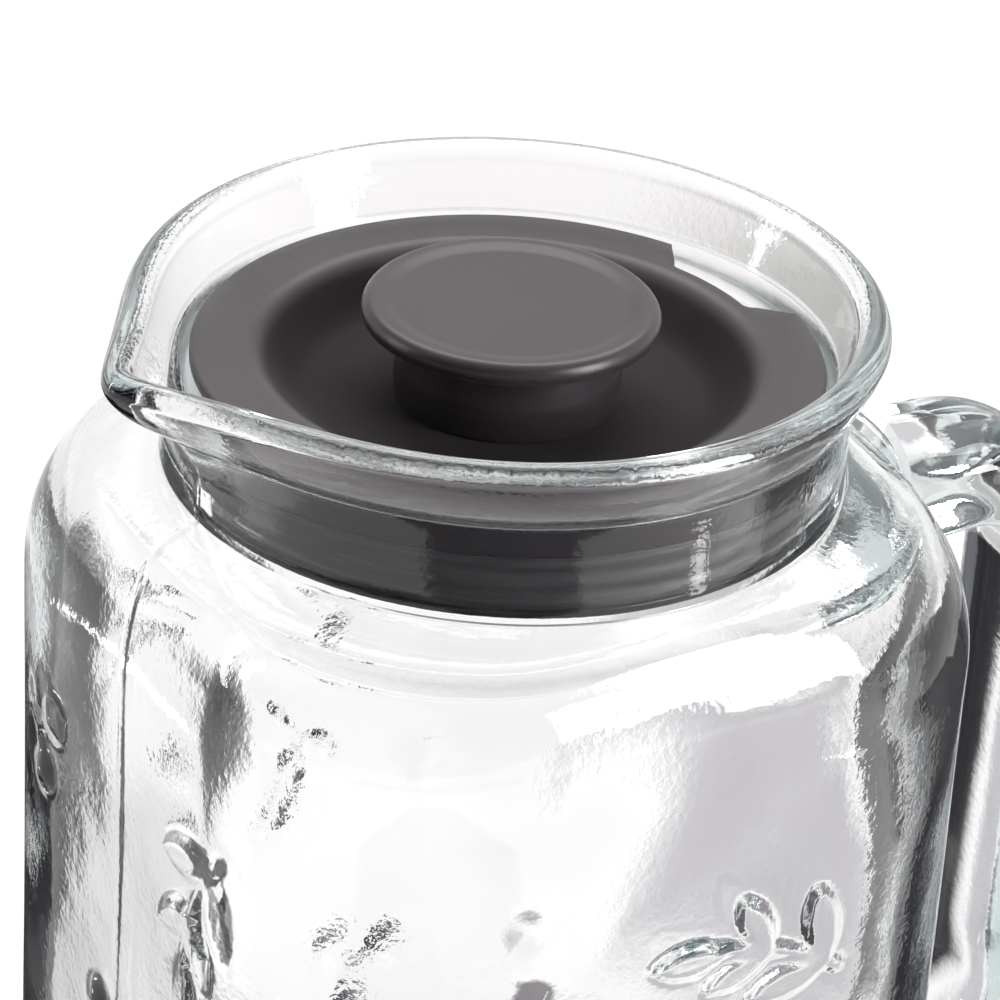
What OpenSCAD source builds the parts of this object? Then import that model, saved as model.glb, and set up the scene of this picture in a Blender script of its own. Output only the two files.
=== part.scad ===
// Glass pitcher with a rounded-square body, a round neck, a spout, a glass handle and a push-in lid.
// The origin is the centre of the plane it stands on. +Z is up, the spout points to -X, the handle to +X.

/* [Body] */
// Height from the standing plane to the middle line of the rolled lip
lip_z = 222; // [205:1:250]
// Width of the body across two opposite flat sides
body_w = 113; // [108:1:124]
// Radius of the body's upright corners
corner_r = 35; // [28:1:44]
// Thickness of the glass in the side walls
wall_t = 4; // [3:0.25:5]
// Thickness of the glass floor
base_t = 7; // [5:0.5:10]
// Rounding of the outer edge round the base
edge_r = 9; // [6:0.5:14]
// Rounding between the inside wall and the floor
floor_r = 12; // [6:0.5:18]
// Width of the foot that the jug stands on
foot_w = 6; // [3:0.5:10]
// How much of the rounded base the flat foot cuts off
foot_cut = 0.4; // [0.2:0.1:1]
// Height of the hollow under the base
push_h = 2.5; // [1:0.25:4]

/* [Shoulder and neck] */
// Depth below the lip at which the shoulder starts
shoulder_drop = 21; // [18:0.5:24]
// Height of the shoulder between the neck and the upright walls
shoulder_h = 23; // [18:1:30]
// Height of the hollow curve where the neck runs into the shoulder
neck_fillet_h = 3; // [2:0.5:6]
// Outside diameter of the neck
neck_d = 92; // [90.5:0.5:96]
// Inside diameter of the neck, in which the lid seals
bore_d = 83.2; // [81:0.1:84.5]
// Depth below the lip at which the straight inside of the neck ends
bore_drop = 25.5; // [25:0.5:30]

/* [Lip and spout] */
// Diameter of the middle line of the rolled lip
mouth_d = 96; // [95:0.5:100]
// Thickness of the rolled lip, across
lip_w = 4.6; // [3.5:0.1:5]
// Thickness of the rolled lip, up and down
lip_h = 4.8; // [4:0.1:6]
// Height of the lip's thickest line above its middle plane
lip_rise = 0.6; // [0:0.1:1.5]
// Depth below the lip of the fine step round the outside of the mouth
collar_drop = 6.7; // [5:0.1:9]
// Height of that fine step
collar_step = 0.6; // [0.3:0.1:1]
// How far the step stands out from the neck
collar_out = 0.7; // [0.3:0.1:1.2]
// Depth below the lip of the ledge that the lid's flange lies on
seat_drop = 8.1; // [7.4:0.1:9]
// How far the spout's tip reaches past the round lip
spout_reach = 9.3; // [5:0.1:12]
// Angle from the spout's middle at which it has mostly run out
spout_spread = 13.5; // [10:0.5:18]
// Depth below the lip at which the spout's outside has run out
spout_drop = 15; // [11:0.5:18]
// Depth below the lip at which the spout's trough inside has run out
trough_drop = 12; // [9:0.5:14]

/* [Handle] */
// Width of the handle, side to side
handle_w = 22; // [17:0.5:26]
// Thickness of the handle, outwards
handle_t = 14; // [10:0.5:16]
// Depth below the lip of the middle of the handle's upper arm
handle_top_drop = 39.7; // [38:0.1:48]
// Distance between the middles of the upper and the lower arm
handle_span = 112; // [95:1:130]
// Distance from the body's flat side to the middle of the grip
handle_reach = 37; // [30:0.5:42]
// Radius of the middle line in the upper bend
handle_bend_r = 19; // [15:0.5:24]
// Radius of the middle line in the lower bend
handle_low_bend_r = 24; // [15:0.5:28]
// How far the arms grow thicker where they run into the body
handle_flare = 3; // [1:0.25:5]
// How deep the arms are fused into the glass of the wall
handle_sink = 2; // [1:0.25:2.5]

/* [Lid] */
// How far the lid's flange reaches over the edge of the neck's bore
flange_lap = 0.8; // [0.5:0.1:0.9]
// Thickness of the lid's flange
flange_t = 1.8; // [1.2:0.1:2.5]
// Width of the flat ring of the flange that shows round the dish
flange_w = 7; // [5:0.25:8]
// Depth of the dish below the top of the flange
dish_depth = 6; // [4:0.25:8]
// Diameter of the flat floor of the dish
dish_floor_d = 52; // [46:1:58]
// Thickness of the lid's dish
lid_t = 2; // [1.5:0.1:2.5]
// Height of the lid from the top of the flange to the lower edge of the skirt
skirt_h = 16.7; // [16.2:0.1:19]
// Thickness of the lid's skirt
skirt_t = 3.1; // [2.8:0.1:4]
// How far the skirt stays back from the face of the seal
skirt_inset = 0.2; // [0.1:0.05:0.4]
// Rounding of the lid's outer edges
lid_edge_r = 0.6; // [0.3:0.1:0.8]
// Direction in which the pouring notch points, as the lid lies in the jug
notch_dir = 9; // [0:1:359]
// Angle that the pouring notch spans at its inner edge
notch_angle = 26; // [16:1:40]
// Angle by which each side of the notch opens out further towards the rim
notch_flare = 4; // [0:0.5:8]
// Distance that the pouring notch reaches in from the edge of the flange
notch_depth = 6.1; // [5:0.1:6.8]
// Height of plastic that is left between the notch and the seal
notch_web = 0.5; // [0.4:0.1:1]
// Rounding of the notch's inner corners
notch_r = 1.6; // [0.5:0.1:2.5]

/* [Seal] */
// Depth of the upper edge of the seal below the top of the flange
seal_drop = 7.3; // [6:0.1:7.5]
// Height of the seal band
seal_h = 7.6; // [6:0.1:8]
// Thickness of the seal band
seal_t = 1.5; // [1.2:0.1:1.8]
// How far the two ribs stand out of the seal band
seal_rib = 0.35; // [0.2:0.05:0.5]

/* [Knob] */
// Diameter of the knob over its rounded edge
knob_d = 39.8; // [34:0.2:44]
// Thickness of the knob's rounded edge
knob_edge_t = 3.28; // [2.6:0.02:4]
// Height of the knob's underside above the top of the flange
knob_rise = 4.36; // [3:0.02:7]
// Depth to which the knob's top lies below its raised rim
knob_recess = 0.45; // [0.2:0.05:0.8]
// Width of the raised rim round the knob's top
knob_rim_w = 3.2; // [2:0.1:5]
// Thickness of the knob's top
knob_t = 2; // [1.4:0.1:2.4]
// Diameter of the knob's stem at the top
stem_top_d = 29.2; // [25:0.2:31]
// Diameter of the knob's stem where it meets the dish
stem_low_d = 30.4; // [28:0.2:33]
// Height of the slightly thicker band round the foot of the stem
stem_band_h = 4; // [2:0.25:6]
// How far that band stands out
stem_band_out = 0.15; // [0.05:0.05:0.6]
// Wall of the hollow stem
stem_t = 2; // [1.5:0.1:2.5]
// Length of the collar that plugs the knob's cap into the stem
plug_h = 6; // [3:0.5:7]
// Wall of that collar
plug_t = 1.6; // [1.2:0.1:2]

/* [Fits] */
// Room between the seal and the glass, all round
run_gap = 0.3; // [0.2:0.05:0.5]
// Room between the flange and the ledge below it
seat_gap = 0.3; // [0.2:0.05:0.5]
// Room between the flange's edge and the glass round it
flange_gap = 0.6; // [0.4:0.1:1]
// Room between the seal and the groove that it sits in
groove_gap = 0.08; // [0.05:0.01:0.1]
// Room between the cap's collar and the inside of the stem
plug_gap = 0.05; // [0.02:0.01:0.1]

/* [Hidden] */

overrun = edge_r;

// Levels of the glass
lip_top_z = lip_z + lip_rise;
collar_z = lip_z - collar_drop;
seat_z = lip_z - seat_drop;
bore_z = lip_z - bore_drop;
shoulder_z = lip_z - shoulder_drop;
wall_top_z = shoulder_z - shoulder_h;
inner_shoulder_h = shoulder_h - (bore_drop - shoulder_drop) + wall_t;
inner_wall_top_z = bore_z - inner_shoulder_h;

// Radii of the glass
neck_r = neck_d / 2;
bore_r = bore_d / 2;
collar_r = neck_r + collar_out;
mouth_r = mouth_d / 2;
lip_out_r = mouth_r + lip_w / 2;
lip_in_r = mouth_r - lip_w / 2;
foot_inset = edge_r + foot_w;

// Radii and levels of the lid
flange_r = bore_r + flange_lap;
seat_r = flange_r + flange_gap;
flange_z = seat_z + seat_gap + flange_t;
dish_rim_r = flange_r - flange_w;
dish_floor_r = dish_floor_d / 2;
dish_z = flange_z - dish_depth;
seal_r = bore_r - run_gap;
groove_r = seal_r - seal_t;
skirt_r = seal_r - skirt_inset;
skirt_in_r = skirt_r - skirt_t;
skirt_z = flange_z - skirt_h;
groove_top_z = flange_z - seal_drop;
groove_low_z = groove_top_z - seal_h - 2 * groove_gap;
stem_top_z = flange_z + knob_rise;
stem_in_r = stem_top_d / 2 - stem_t;
plug_r = stem_in_r - plug_gap;
knob_edge_r = knob_edge_t / 2;
knob_bead_r = knob_d / 2 - knob_edge_r;
knob_rim_in_r = knob_bead_r - knob_rim_w / 2;

// Directions of the points round the jug, closer together across the spout
around = concat([for (a = [-150:5:150]) a], [for (a = [152.5:2.5:207.5]) a]);
spout_dir = 180;

// Shape of the shoulder, the spout, the lip's flare and the base, as plain shares and powers
shoulder_power = 2.1;
inner_shoulder_power = 3;
spout_power = 1.2;
spout_tip_angle = 1.5;
flare_bow_share = 0.35;
shoulder_shares = [0.82, 0.64, 0.48, 0.35, 0.24, 0.155, 0.09, 0.045, 0.02];
inner_shoulder_shares = [0.02, 0.055, 0.12, 0.24, 0.42, 0.66];
neck_shares = [0, 0.35, 0.6, 0.8, 1];
wall_shares = [0.5, 1];
push_shares = [0.3, 0.6, 0.8];
flare_shares = [0.2, 0.4, 0.6, 0.8];
mouth_shares = [0.33, 0.67];
floor_share = 0.6;

glass_color = [0.78, 0.86, 0.87, 0.45];
plastic_color = [0.26, 0.24, 0.25];
seal_color = [0.2, 0.19, 0.2];

// Distance from the axis to a rounded square in direction a, drawn in by inset
function square_r(a, inset) =
    let (half = body_w / 2 - inset,
         c = max(corner_r - inset, wall_t),
         flat = half - c,
         t = abs((((a + 45) % 90) + 90) % 90 - 45))
    half * tan(t) <= flat
        ? half / cos(t)
        : flat * (cos(t) + sin(t)) + sqrt(pow(c, 2) - pow(flat * (cos(t) - sin(t)), 2));

// How far the spout stands out in direction a, from 0 to 1
function spout_at(a) =
    let (off = abs(((a - spout_dir + 540) % 360) - 180),
         d = sqrt(pow(off, 2) + pow(spout_tip_angle, 2)) - spout_tip_angle)
    exp(-pow(d / spout_spread, spout_power));

// How far the spout stands out at height z, from 0 where it has run out to 1 at the lip
function spout_level(z, drop) =
    let (u = max(0, min(1, (z - lip_z + drop) / drop)))
    pow(u, 2) * (3 - 2 * u);

// How far the round neck has turned into the square body, at share s of the way down the shoulder
function shoulder_blend(s, height, power) =
    let (start = min(s * height / neck_fillet_h, 1))
    pow(1 - pow(1 - s, power), 1 / power) * (1 - pow(1 - start, 2));

// One ring of points: r is the round radius, blend turns it square, spout lifts it out to the spout
function ring(z, r, blend = 0, inset = 0, size = 1, spout = 0) =
    [for (a = around)
        let (d = (r + (square_r(a, inset) - r) * blend) * size + spout * spout_at(a) * spout_reach)
        [d * cos(a), d * sin(a), z]];

function outer_ring(z, r) = ring(z, r, spout = spout_level(z, spout_drop));
function trough_ring(z, r) = ring(z, r, spout = spout_level(z, trough_drop));

// The rings of the glass, from the middle of the underside, up the outside, over the lip and down inside
underside_rings = concat(
    [for (k = push_shares) ring(push_h - (push_h + foot_cut) * pow(k, 3), 0, 1, foot_inset, k)],
    [ring(-foot_cut, 0, 1, foot_inset)]
);
edge_rings = [for (a = [0:22.5:90]) ring(edge_r * (1 - cos(a)) - foot_cut, 0, 1, edge_r * (1 - sin(a)))];
wall_low_z = edge_r - foot_cut;
wall_rings = [for (k = wall_shares) ring(wall_low_z + (wall_top_z - wall_low_z) * k, 0, 1)];
shoulder_rings = [for (k = shoulder_shares)
    ring(shoulder_z - shoulder_h * k, neck_r, shoulder_blend(k, shoulder_h, shoulder_power),
         spout = spout_level(shoulder_z - shoulder_h * k, spout_drop))];
neck_h = collar_z - collar_step - shoulder_z;
neck_rings = concat(
    [for (k = neck_shares) outer_ring(shoulder_z + neck_h * k, neck_r)],
    [outer_ring(collar_z, collar_r)]
);
flare_rings = [for (t = flare_shares)
    outer_ring(collar_z + (lip_top_z - collar_z) * t,
               collar_r + (lip_out_r - collar_r) * t * (1 + flare_bow_share * (1 - t)))];
lip_rings = [for (a = [0:22.5:180])
    ring(lip_top_z + lip_h / 2 * sin(a), mouth_r + lip_w / 2 * cos(a), spout = 1)];
mouth_rings = [for (t = mouth_shares)
    trough_ring(lip_top_z + (seat_z - lip_top_z) * t, lip_in_r + (seat_r - lip_in_r) * t)];
bore_rings = [
    trough_ring(seat_z, seat_r),
    ring(seat_z, bore_r),
    ring(bore_z, bore_r)
];
inner_shoulder_rings = [for (k = inner_shoulder_shares)
    ring(bore_z - inner_shoulder_h * k, bore_r,
         shoulder_blend(k, inner_shoulder_h, inner_shoulder_power), wall_t)];
inner_wall_low_z = base_t + floor_r;
inner_wall_rings = [for (i = [len(wall_shares) - 1:-1:0])
    ring(inner_wall_low_z + (inner_wall_top_z - inner_wall_low_z) * wall_shares[i], 0, 1, wall_t)];
inner_edge_rings = [for (a = [90:-30:0])
    ring(base_t + floor_r * (1 - cos(a)), 0, 1, wall_t + floor_r * (1 - sin(a)))];
floor_rings = [ring(base_t, 0, 1, wall_t + floor_r, floor_share)];

glass_rings = concat(underside_rings, edge_rings, wall_rings, shoulder_rings, neck_rings,
                     flare_rings, lip_rings, mouth_rings, bore_rings, inner_shoulder_rings,
                     inner_wall_rings, inner_edge_rings, floor_rings);

// A closed solid skinned over a list of rings, with a point in the middle of each end
module loft(rings, first, last) {
    n = len(rings[0]);
    count = len(rings);
    points = concat([for (r = rings) each r], [first, last]);
    sides = [for (i = [0:count - 2], j = [0:n - 1])
        let (a = i * n + j, b = i * n + (j + 1) % n)
        each [[a, a + n, b], [b, a + n, b + n]]];
    start = [for (j = [0:n - 1]) [count * n, j, (j + 1) % n]];
    end = [for (j = [0:n - 1]) [count * n + 1, (count - 1) * n + (j + 1) % n, (count - 1) * n + j]];
    polyhedron(points, concat(start, sides, end));
}

// The glass vessel: base, walls, shoulder, neck, lip and spout in one piece
module jug_body() {
    color(glass_color)
    difference() {
        loft(glass_rings, [0, 0, push_h], [0, 0, base_t]);
        translate([-body_w, -body_w, -body_w])
        cube([2 * body_w, 2 * body_w, body_w]);
    }
}

// Middle line of the handle, as [outward distance, height, direction of travel]
handle_x = body_w / 2 + handle_reach;
handle_start_x = body_w / 2 - handle_sink;
handle_top_z = lip_z - handle_top_drop;
handle_low_z = handle_top_z - handle_span;
handle_arm = handle_reach + handle_sink - handle_bend_r;
handle_low_arm = handle_reach + handle_sink - handle_low_bend_r;
arm_shares = [0, 0.2, 0.45, 0.7];
handle_path = concat(
    [for (k = arm_shares) [handle_start_x + handle_arm * k, handle_top_z, 0]],
    [for (a = [0:15:90])
        [handle_x - handle_bend_r * (1 - sin(a)), handle_top_z - handle_bend_r * (1 - cos(a)), -a]],
    [for (a = [90:-15:0])
        [handle_x - handle_low_bend_r * (1 - sin(a)),
         handle_low_z + handle_low_bend_r * (1 - cos(a)),
         a - 180]],
    [for (i = [len(arm_shares) - 1:-1:0])
        [handle_start_x + handle_low_arm * arm_shares[i], handle_low_z, -180]]
);

// How much thicker the handle is at distance x, where it runs into the body
function handle_grow(x) =
    handle_flare * pow(max(0, 1 - (x - handle_start_x) / handle_arm), 2);

// Rounded-box outline of the handle: a power of 4 lies between an ellipse and a box
function box_cos(a) = sign(cos(a)) * sqrt(abs(cos(a)));
function box_sin(a) = sign(sin(a)) * sqrt(abs(sin(a)));
section_step = 15;

function handle_ring(p) =
    [for (a = [0:section_step:360 - section_step])
        let (g = handle_grow(p[0]),
             side = (handle_w / 2 + g / 2) * box_cos(a),
             up = (handle_t / 2 + g) * box_sin(a))
        [p[0] - up * sin(p[2]), side, p[1] + up * cos(p[2])]];

// The handle, fused into the wall of the body at both ends
module jug_handle() {
    color(glass_color)
    loft([for (p = handle_path) handle_ring(p)],
         [handle_start_x, 0, handle_top_z],
         [handle_start_x, 0, handle_low_z]);
}

// Points of an arc, for the rounded edges of turned outlines
function arc(r, z, radius, from, to, steps = 4) =
    [for (i = [0:steps]) let (a = from + (to - from) * i / steps) [r + radius * cos(a), z + radius * sin(a)]];

// Soft step from radius r0 at height z0 to r1 at z1
function ease(r0, z0, r1, z1, steps = 10) =
    [for (i = [0:steps])
        let (t = i / steps)
        [r0 + (r1 - r0) * t, z0 + (z1 - z0) * (1 - cos(180 * t)) / 2]];

// Half section of the lid: hollow stem, dish, flange, and the skirt with its groove for the seal
lid_outline = concat(
    [[0, dish_z - lid_t], [0, dish_z], [stem_in_r, dish_z], [stem_in_r, stem_top_z]],
    [[stem_top_d / 2, stem_top_z], [stem_low_d / 2 - stem_band_out, dish_z + stem_band_h]],
    [[stem_low_d / 2, dish_z + stem_band_h], [stem_low_d / 2, dish_z]],
    ease(dish_floor_r, dish_z, dish_rim_r, flange_z),
    arc(flange_r - lid_edge_r, flange_z - lid_edge_r, lid_edge_r, 90, 0),
    [[flange_r, flange_z - flange_t], [skirt_r, flange_z - flange_t]],
    [[skirt_r, groove_top_z], [groove_r, groove_top_z], [groove_r, groove_low_z], [skirt_r, groove_low_z]],
    arc(skirt_r - lid_edge_r, skirt_z + lid_edge_r, lid_edge_r, 0, -90),
    [[skirt_in_r, skirt_z], [skirt_in_r, flange_z - lid_t]],
    ease(dish_rim_r, flange_z - lid_t, dish_floor_r, dish_z - lid_t)
);

// Plan of the pouring notch, a sector that is open to the rim and rounded in its inner corners
notch_low_r = flange_r - notch_depth;
notch_corner_angle = atan(notch_r / notch_low_r);
notch_edge_angle = notch_angle / 2 - notch_corner_angle;
notch_rim_angle = notch_angle / 2 + notch_flare;
notch_arc = [-1:0.125:1];
function polar(r, a) = [r * cos(a), r * sin(a)];
function notch_corner(side) =
    [for (a = [0:22.5:90])
        polar(notch_low_r + notch_r * (1 - cos(a)), side * (notch_edge_angle + notch_corner_angle * sin(a)))];
notch_outline = concat(
    [polar(flange_r + overrun, notch_rim_angle), polar(flange_r, notch_rim_angle)],
    [for (i = [4:-1:1]) notch_corner(1)[i]],
    [for (k = notch_arc) polar(notch_low_r, -notch_edge_angle * k)],
    [for (i = [1:4]) notch_corner(-1)[i]],
    [polar(flange_r, -notch_rim_angle), polar(flange_r + overrun, -notch_rim_angle)]
);

module lid_cover() {
    color(plastic_color)
    difference() {
        rotate_extrude($fn = 96) polygon(lid_outline);
        rotate([0, 0, notch_dir])
        translate([0, 0, groove_top_z + notch_web])
            linear_extrude(seal_drop + overrun) polygon(notch_outline);
    }
}

// Soft band in the skirt's groove, with a rib near each edge that presses on the glass
seal_low_z = groove_low_z + groove_gap;
seal_top_z = seal_low_z + seal_h;
seal_in_r = groove_r + groove_gap;
seal_band_r = seal_r - seal_rib;
seal_rib_drop = seal_h / 8;
seal_outline = concat(
    [[seal_in_r, seal_low_z], [seal_band_r, seal_low_z]],
    arc(seal_band_r, seal_low_z + seal_rib_drop, seal_rib, -90, 90),
    arc(seal_band_r, seal_top_z - seal_rib_drop, seal_rib, -90, 90),
    [[seal_band_r, seal_top_z], [seal_in_r, seal_top_z]]
);

module lid_seal() {
    color(seal_color)
    rotate_extrude($fn = 96) polygon(seal_outline);
}

// Mushroom cap that plugs the hollow stem, with a rounded edge and a shallow bare field on top
knob_z = stem_top_z;
knob_top_z = knob_z + knob_edge_t;
knob_outline = concat(
    [[0, knob_top_z - knob_recess - knob_t], [0, knob_top_z - knob_recess]],
    ease(knob_rim_in_r - knob_recess, knob_top_z - knob_recess, knob_rim_in_r + knob_recess, knob_top_z, 4),
    arc(knob_bead_r, knob_z + knob_edge_r, knob_edge_r, 90, -90, 10),
    [[plug_r, knob_z], [plug_r, knob_z - plug_h], [plug_r - plug_t, knob_z - plug_h]],
    [[plug_r - plug_t, knob_top_z - knob_recess - knob_t]]
);

module knob_cap() {
    color(plastic_color)
    rotate_extrude($fn = 96) polygon(knob_outline);
}

jug_body();
jug_handle();
lid_cover();
lid_seal();
knob_cap();
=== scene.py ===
import math

import bpy
import numpy as np
from mathutils import Matrix, Vector


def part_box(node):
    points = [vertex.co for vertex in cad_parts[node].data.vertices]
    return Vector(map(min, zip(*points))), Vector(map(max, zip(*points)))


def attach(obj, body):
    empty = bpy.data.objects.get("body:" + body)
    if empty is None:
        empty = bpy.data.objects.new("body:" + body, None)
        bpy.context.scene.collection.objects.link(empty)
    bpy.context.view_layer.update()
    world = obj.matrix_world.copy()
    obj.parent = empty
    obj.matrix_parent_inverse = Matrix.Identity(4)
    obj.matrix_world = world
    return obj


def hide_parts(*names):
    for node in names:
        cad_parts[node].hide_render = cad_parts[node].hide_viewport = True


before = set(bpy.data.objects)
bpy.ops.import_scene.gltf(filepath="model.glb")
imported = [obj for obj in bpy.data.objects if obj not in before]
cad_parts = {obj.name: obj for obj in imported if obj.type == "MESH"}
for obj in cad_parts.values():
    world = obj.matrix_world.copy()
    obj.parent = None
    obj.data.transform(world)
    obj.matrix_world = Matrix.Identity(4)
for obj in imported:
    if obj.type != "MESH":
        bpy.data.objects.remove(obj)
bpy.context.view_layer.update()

MM = 0.001

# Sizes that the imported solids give, in millimetres
JUG_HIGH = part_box("jug_body")[1] / MM
HANDLE_LOW, HANDLE_HIGH = [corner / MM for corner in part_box("jug_handle")]
LID_LOW, LID_HIGH = [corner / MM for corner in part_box("lid_cover")]
SEAL_LOW, SEAL_HIGH = [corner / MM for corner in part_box("lid_seal")]
KNOB_LOW, KNOB_HIGH = [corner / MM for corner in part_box("knob_cap")]

# The glass body, in millimetres
HALF_W = JUG_HIGH.y
CORNER_R = 35
WALL_T = 4
BASE_T = 7
EDGE_R = 9
FLOOR_R = 12
FOOT_W = 6
FOOT_CUT = 0.4
PUSH_H = 2.5
LIP_W = 4.6
LIP_H = 4.8
LIP_TOP_Z = JUG_HIGH.z - LIP_H / 2
LIP_RISE = 0.6
LIP_Z = LIP_TOP_Z - LIP_RISE
SHOULDER_Z = LIP_Z - 21
SHOULDER_H = 23
FILLET_H = 3
NECK_R = 46
BORE_R = 41.6
BORE_Z = LIP_Z - 25.5
COLLAR_Z = LIP_Z - 6.7
COLLAR_STEP = 0.6
COLLAR_OUT = 0.7
SEAT_Z = LIP_Z - 8.1
SEAT_R = 43
SEAT_EDGE_W = 0.6
SEAT_EDGE_H = 1.8
SEAT_COVE_W = 0.75
SEAT_COVE_H = 2
SEAT_MATTE = 0.4
MOUTH_R = 48
SPOUT_REACH = 9.3
SPOUT_SPREAD = 13.5
SPOUT_DROP = 15
TROUGH_DROP = 12
SPOUT_POWER = 1.2
SPOUT_TIP_ANGLE = 1.5
SHOULDER_POWER = 2.1
INNER_SHOULDER_POWER = 3
FLARE_BOW = 0.35
COLLAR_LEAD = 0.1
HOLLOW_POWER = 3
WALL_TOP_Z = SHOULDER_Z - SHOULDER_H
INNER_TOP_Z = WALL_TOP_Z - WALL_T
INNER_SHOULDER_H = BORE_Z - INNER_TOP_Z

# How many rings of points each part of the body's skin has
HOLLOW_RINGS = 15
EDGE_RINGS = 15
WALL_RINGS = 196
SHOULDER_RINGS = 60
NECK_RINGS = 8
COLLAR_RINGS = 6
FLARE_RINGS = 14
LIP_RINGS = 25
MOUTH_RINGS = 14
COVE_RINGS = 9
SEAT_RINGS = 10
BORE_RINGS = 8
INNER_SHOULDER_RINGS = 44
INNER_WALL_RINGS = 50
FLOOR_EDGE_RINGS = 14
FLOOR_RINGS = 8
FLOOR_MIDDLE = 0.06
RINGS_CROWD = 1.6

# The pressed pattern of twigs, leaves and berries on the outside of the glass, in millimetres and radians
RELIEF_H = 1.05
RELIEF_ROWS = 4
RELIEF_LOW_Z = 44
RELIEF_ROW_STEP = 37
RELIEF_PER_ROW = 9
RELIEF_SHIFT = 0.12
RELIEF_RISE = 5
RELIEF_END = 33
RELIEF_FADE = 10
RELIEF_SEED = 11
HANDLE_CLEAR = 34
DOME_POWER = 1.5
TWIG_BEND = 0.012
TWIG_REACH = 13
TWIG_H = 0.7
TWIG_W = 1.5
TWIG_FADE = 2
LEAF_STARTS = (-9, 1)
LEAF_ANGLES = (0.8, 0.7)
LEAF_SIZES = ((13, 7), (11, 6))
END_LEAF_BACK = 5
END_LEAF_SIDE = 1.2
END_LEAF_ANGLE = 0.3
END_LEAF_SIZE = (12, 6.5)
LEAF_TAPER = 0.8
LEAF_ROUND = 1.2
LEAF_START = 4
LEAF_THIN = 0.01
VEIN_H = 0.35
VEIN_W = 0.8
VEIN_START = 0.2
VEIN_RISE = 3
BERRIES = ((0.3, 6.5), (2.3, 6.0), (4.3, 6.8))
BERRY_R = 4.2
STALK_H = 0.5
STALK_W = 1.4

# The mould seam at the spout's end and the slow waves of the glass, in millimetres. Each set of waves
# has its seed, its count and how steeply its waves lean.
SEAM_H = 0.14
SEAM_W = 0.5
SEAM_ANGLE = 20
OUTER_WAVE_H = 0.10
OUTER_WAVES = (3, 9, 0.06)
INNER_WAVE_H = 0.28
INNER_WAVES = (5, 12, 0.09)
WAVE_TURNS = 8

# Over what heights these fade out at the ends of the wall, and how far from its ends they stop
BODY_FADE = 6
SEAM_TOP_GAP = 2
SEAM_TOP_FADE = 3
INNER_TOP_GAP = 2
INNER_LOW_GAP = 1
INNER_FADE = 8

# The handle's middle line and section, in millimetres
HANDLE_FLARE = 3
HANDLE_W = HANDLE_HIGH.y - HANDLE_LOW.y - HANDLE_FLARE
HANDLE_T = 14
HANDLE_X = HANDLE_HIGH.x - HANDLE_T / 2
HANDLE_START_X = HANDLE_LOW.x
HANDLE_TOP_Z = HANDLE_HIGH.z - HANDLE_T / 2 - HANDLE_FLARE
HANDLE_LOW_Z = HANDLE_LOW.z + HANDLE_T / 2 + HANDLE_FLARE
HANDLE_BEND_R = 19
HANDLE_LOW_BEND_R = 24
ROOT_SUNK = 2
ROOT_FILLET = 2.2
ROOT_FADE = 1.6
HANDLE_ARM_RINGS = 26
HANDLE_BEND_RINGS = 31
HANDLE_GRIP_RINGS = 50
HANDLE_SIDES = 72

# The lid, in millimetres
FLANGE_R = LID_HIGH.y
FLANGE_Z = SEAT_Z + 2.1
FLANGE_T = 1.8
FLANGE_W = 7
DISH_DEPTH = 6
DISH_FLOOR_R = 26
LID_T = 2
LID_EDGE_R = 0.6
SKIRT_R = SEAL_HIGH.x - 0.2
SKIRT_IN_R = SKIRT_R - 3.1
GROOVE_GAP = 0.08
GROOVE_R = SEAL_HIGH.x - 1.5
STEM_TOP_R = 14.6
STEM_LOW_R = 15.2
STEM_IN_R = 12.6
STEM_BAND_H = 4
STEM_BAND_OUT = 0.15
STEM_BAND_SLOPE = 0.8
STEM_BAND_R = 1.5
STEM_TOP_EDGE_R = 0.2
STEM_FOOT_H = 0.35
STEM_FOOT_IN = 0.15
FINE_R = 0.3
GROOVE_CORNER_R = 0.1
SKIRT_CORNER_R = 0.6
MOULD_R = 0.22
NOTCH_DIR = 9
NOTCH_ANGLE = 26
NOTCH_FLARE = 4
NOTCH_DEPTH = 6.1
NOTCH_WEB = 0.5
NOTCH_R = 1.6
NOTCH_OUT_R = 1.8
NOTCH_OVERRUN = 8
NOTCH_OVER_Z = 5
NOTCH_ARC_POINTS = 25
NOTCH_IN_STEPS = 8
NOTCH_IN_END = 80
NOTCH_OUT_POINTS = 7
NOTCH_OUT_ENDS = (20, 80)

# The seal, in millimetres
SEAL_IN_R = GROOVE_R + GROOVE_GAP
SEAL_RIB = 0.35
SEAL_RIB_H = 1.2
SEAL_RIB_IN = 0.9
SEAL_RIDGE = 0.2
SEAL_EDGE_R = 0.2

# The knob, in millimetres
KNOB_EDGE_T = 3.28
KNOB_Z = KNOB_HIGH.z - KNOB_EDGE_T
KNOB_EDGE_R = KNOB_EDGE_T / 2
KNOB_BEAD_R = KNOB_HIGH.x - KNOB_EDGE_R
KNOB_RECESS = 0.45
KNOB_RIM_IN_R = KNOB_BEAD_R - 1.6
KNOB_T = 2
PLUG_R = STEM_IN_R - 0.05
PLUG_T = 1.6
PLUG_TOP_EDGE_R = 0.1
KNOB_LINE_H = 0.14
KNOB_LINE_W = 0.3
KNOB_LINE_ANGLE = -38
KNOB_RIM_SLOPE_IN = 1.6
KNOB_RIM_SLOPE_OUT = 1.2

# How finely the turned pieces are divided
LID_SEGMENTS = 384
KNOB_SEGMENTS = 320
KNOB_RIM_STEPS = 20
KNOB_EDGE_POINTS = 73
DISH_STEPS = 24
RIB_POINTS = 13
CORNER_STEPS = 5
CORNER_SHARE = 0.48
MOULD_SEGMENTS = 3
SHARP_ANGLE = 50

COLUMNS = 480
ANGLES = np.arange(COLUMNS) * 360 / COLUMNS


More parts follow.
